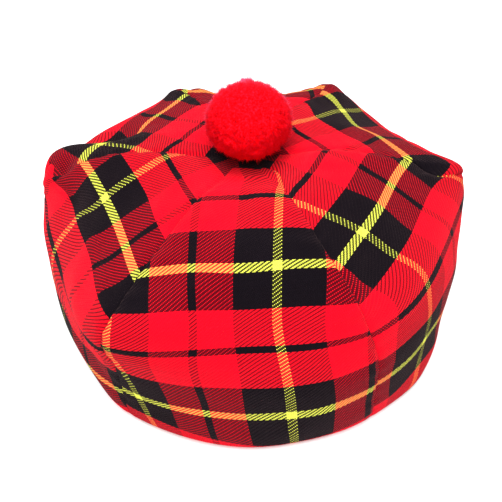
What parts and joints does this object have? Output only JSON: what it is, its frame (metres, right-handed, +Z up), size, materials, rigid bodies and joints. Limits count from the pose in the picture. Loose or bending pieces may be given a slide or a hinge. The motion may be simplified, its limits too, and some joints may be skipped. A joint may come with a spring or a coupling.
{
  "type": "tam o'shanter",
  "caption": "Soft gored wool bonnet in a red, black and yellow check, sagging over a headband, with a round pile pompom on the crown",
  "frame": {"origin": "middle of the base, on the surface that the hat rests on", "axes": "+Z up through the pompom, -Y the front gore, +X to the right as the front is looked at"},
  "size_m": [0.2843, 0.2807, 0.1503],
  "materials": {
    "checked_wool": "matte",
    "band_wool": "matte",
    "pompom_wool": "matte"
  },
  "bodies": {
    "root": {"gore_front": "checked_wool", "gore_front_right": "checked_wool", "gore_back_right": "checked_wool", "gore_back": "checked_wool", "gore_back_left": "checked_wool", "gore_front_left": "checked_wool", "headband": "band_wool", "pompom": "pompom_wool"}
  },
  "joints": []
}
